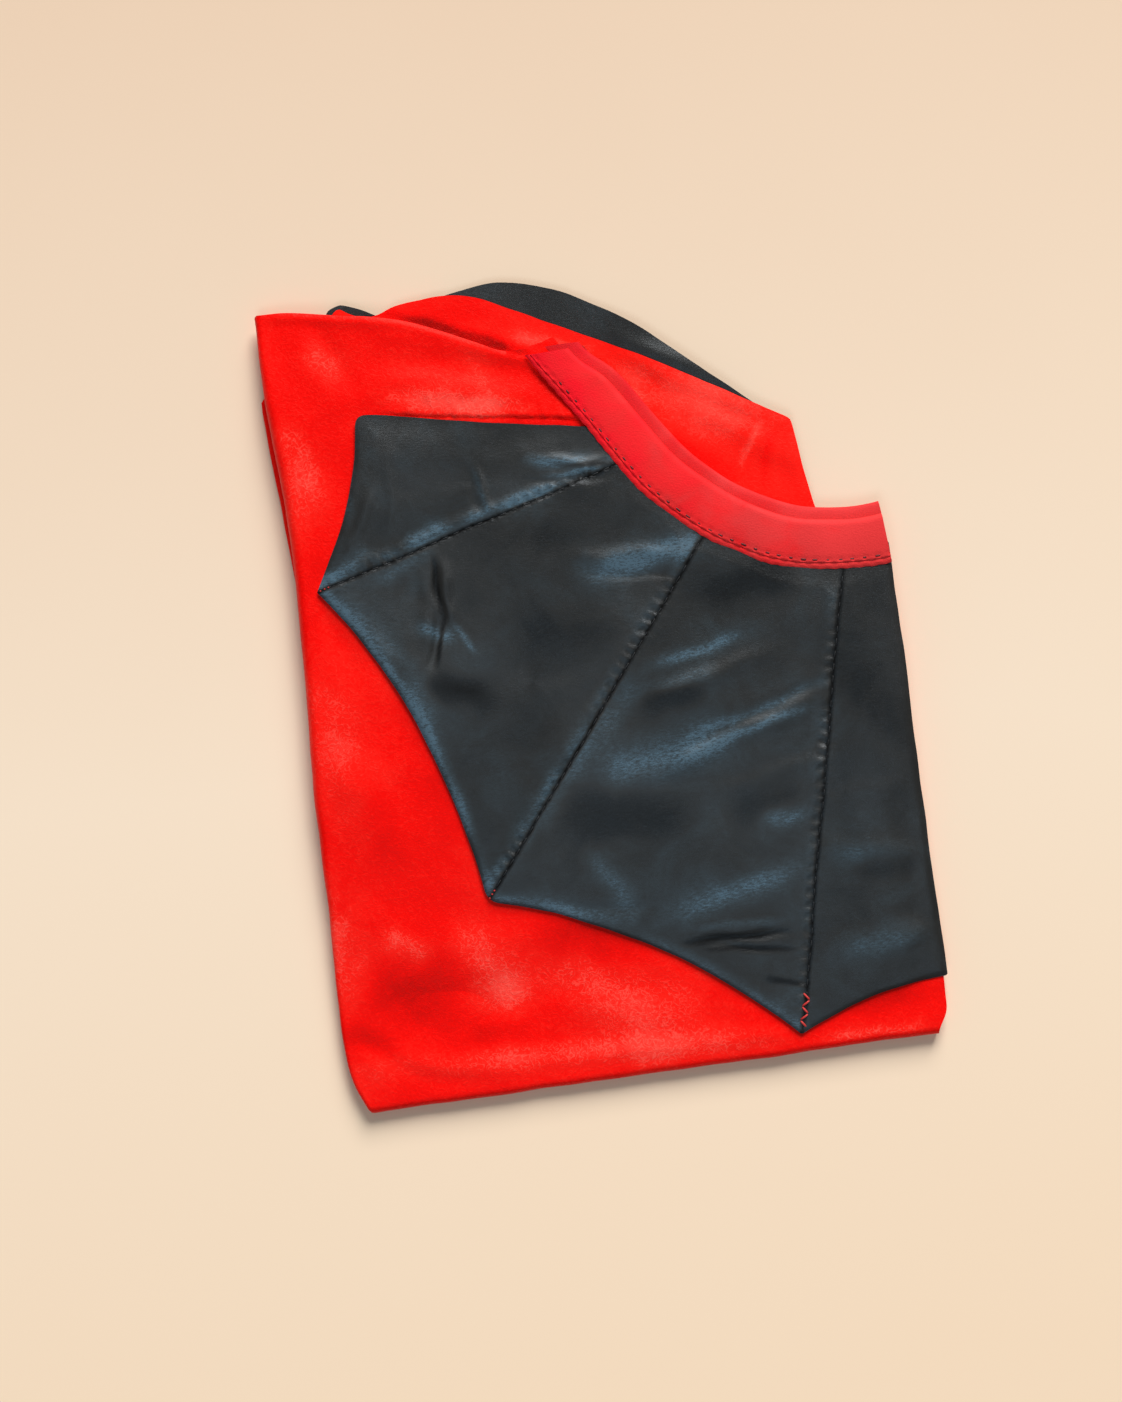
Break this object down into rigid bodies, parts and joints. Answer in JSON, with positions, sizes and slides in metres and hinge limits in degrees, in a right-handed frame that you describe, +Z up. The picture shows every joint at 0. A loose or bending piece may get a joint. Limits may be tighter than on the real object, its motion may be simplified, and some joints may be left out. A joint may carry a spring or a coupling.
{
  "type": "superhero cape",
  "caption": "Child's dress-up cape folded flat: red body, black scalloped shoulder yoke with red lining, curved red neckband.",
  "frame": {"origin": "centre of the footprint, on the surface that the folded cape lies on", "axes": "+Z up out of the surface, +Y along the packet's long side towards the neckline, +X towards the centre-back fold"},
  "size_m": [0.2305, 0.3072, 0.0141],
  "materials": {
    "red_satin": "crepe-backed satin",
    "black_satin": "smooth satin with a blue-grey sheen",
    "red_binding": "matte woven binding, topstitched",
    "red_thread": "sewing thread",
    "black_fastener": "hook-and-loop tape"
  },
  "bodies": {
    "folded_body": {"left_body_panel": "red_satin", "right_body_panel": "red_satin", "left_neckband": "red_binding", "right_neckband": "red_binding", "right_yoke_lining": "red_satin", "right_yoke_front_gore": "black_satin", "right_yoke_side_gore": "black_satin", "right_yoke_back_gore": "black_satin", "left_yoke_lining_top": "red_satin", "left_yoke_front_gore_top": "black_satin", "left_yoke_shoulder_gore_top": "black_satin", "left_yoke_side_gore_top": "black_satin", "left_yoke_back_gore_top": "black_satin", "closure_loop_patch": "black_fastener", "closure_hook_patch": "black_fastener"},
    "left_yoke": {"left_yoke_lining": "red_satin", "left_yoke_front_gore": "black_satin", "left_yoke_shoulder_gore": "black_satin", "left_yoke_side_gore": "black_satin", "left_yoke_back_gore": "black_satin", "tip_thread_tack": "red_thread"},
    "tail": {"left_body_tail": "red_satin", "right_body_tail": "red_satin"}
  },
  "joints": [
    {"name": "yoke_lift", "type": "hinge", "parent": "folded_body", "child": "left_yoke", "pos_m": [0.04561, 0.04046, 0.0133], "axis": [-0.829, 0.5592, 0], "range_deg": [0, 150]},
    {"name": "tail_unfold", "type": "hinge", "parent": "folded_body", "child": "tail", "pos_m": [0, -0.15375, 0.00305], "axis": [-1, 0, 0], "range_deg": [0, 180]}
  ]
}
